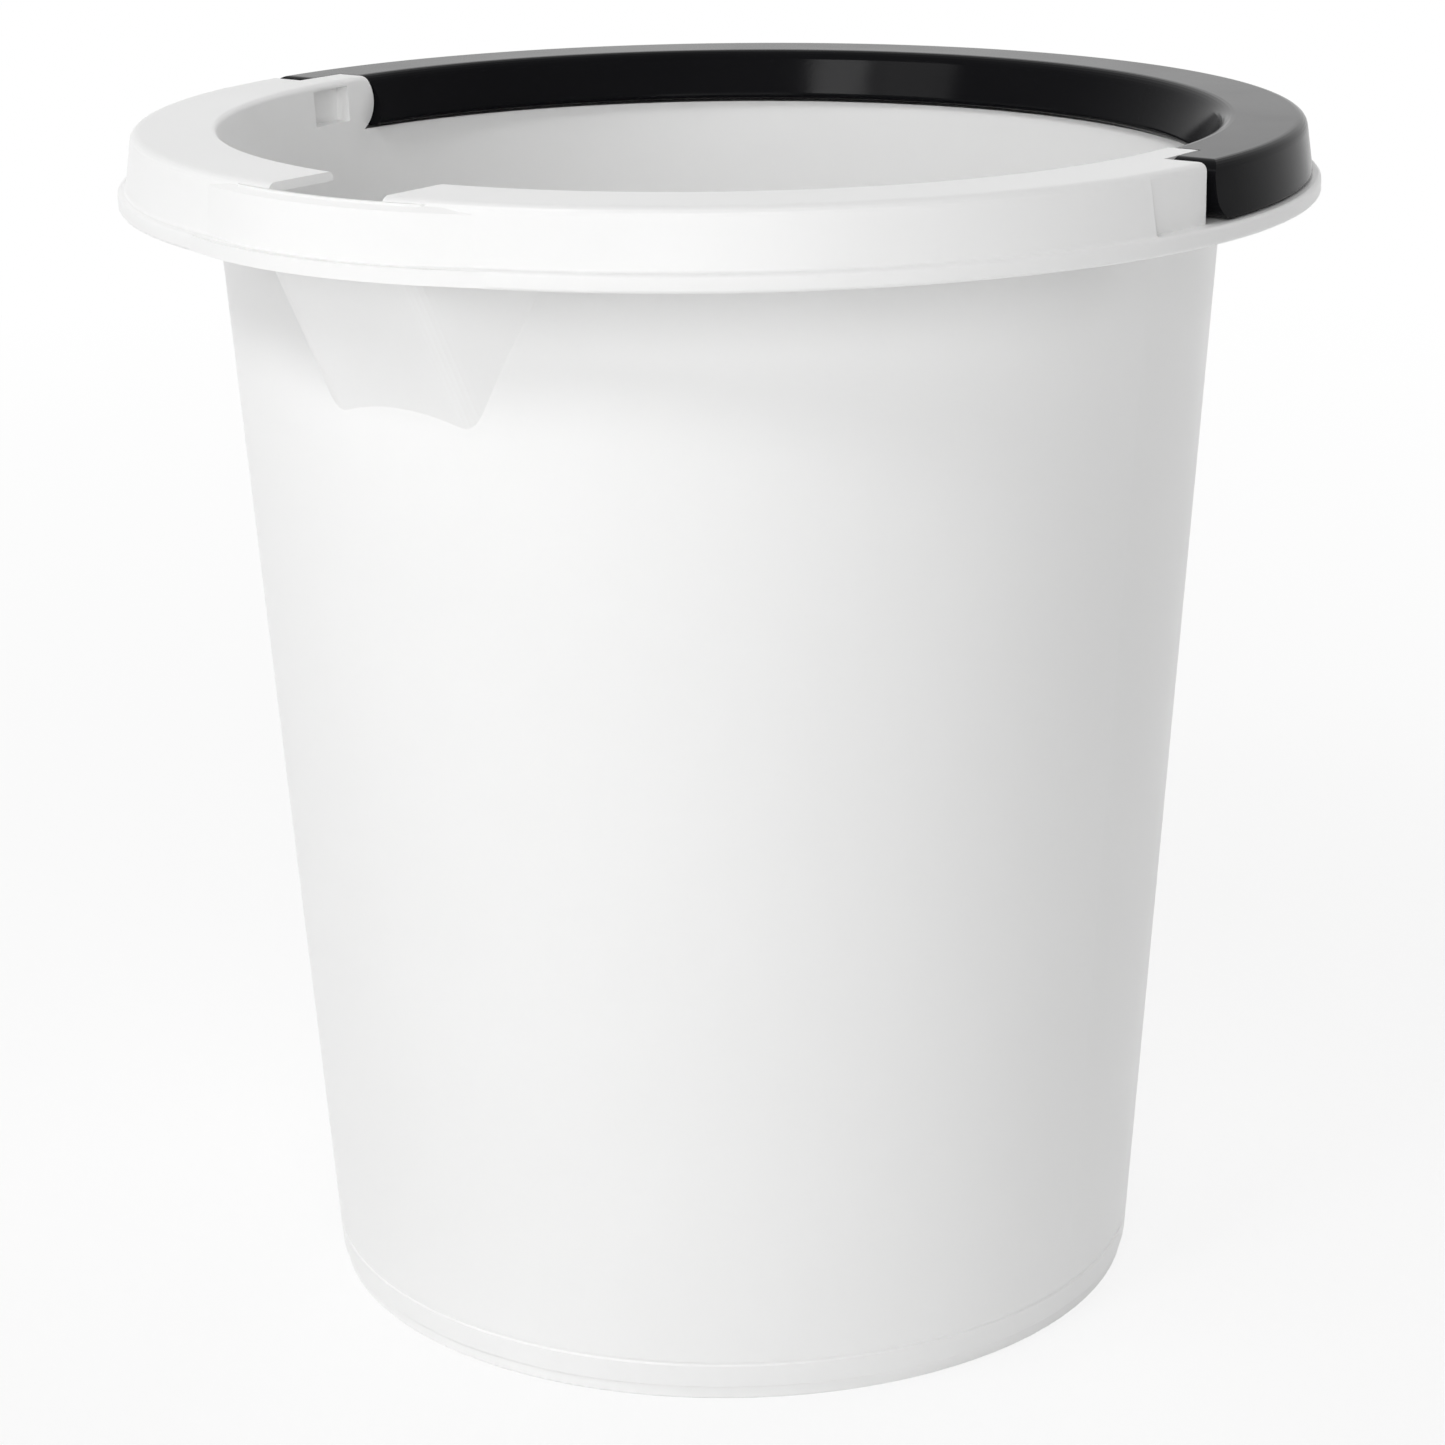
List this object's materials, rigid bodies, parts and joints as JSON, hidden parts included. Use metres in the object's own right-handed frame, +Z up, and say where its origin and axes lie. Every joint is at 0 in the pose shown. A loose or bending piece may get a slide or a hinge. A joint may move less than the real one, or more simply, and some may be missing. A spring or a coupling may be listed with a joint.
{
  "type": "bucket",
  "caption": "White plastic household bucket with a pouring spout, a wide raised rim and a black swing handle that lies flush in the rear half of the rim",
  "frame": {"origin": "on the floor under the middle of the foot rim", "axes": "+Z up; the spout points to -Y; the handle rests over +Y and swings about an axis along X"},
  "size_m": [0.3, 0.303, 0.303],
  "materials": {
    "white_pp": "satin",
    "black_pp": "satin"
  },
  "bodies": {
    "bucket_body": {"bucket": "white_pp"},
    "handle_body": {"handle": "black_pp"}
  },
  "joints": [
    {"name": "handle_swing", "type": "hinge", "parent": "bucket_body", "child": "handle_body", "pos_m": [0, 0, 0.2968], "axis": [1, 0, 0], "range_deg": [0, 95]}
  ]
}
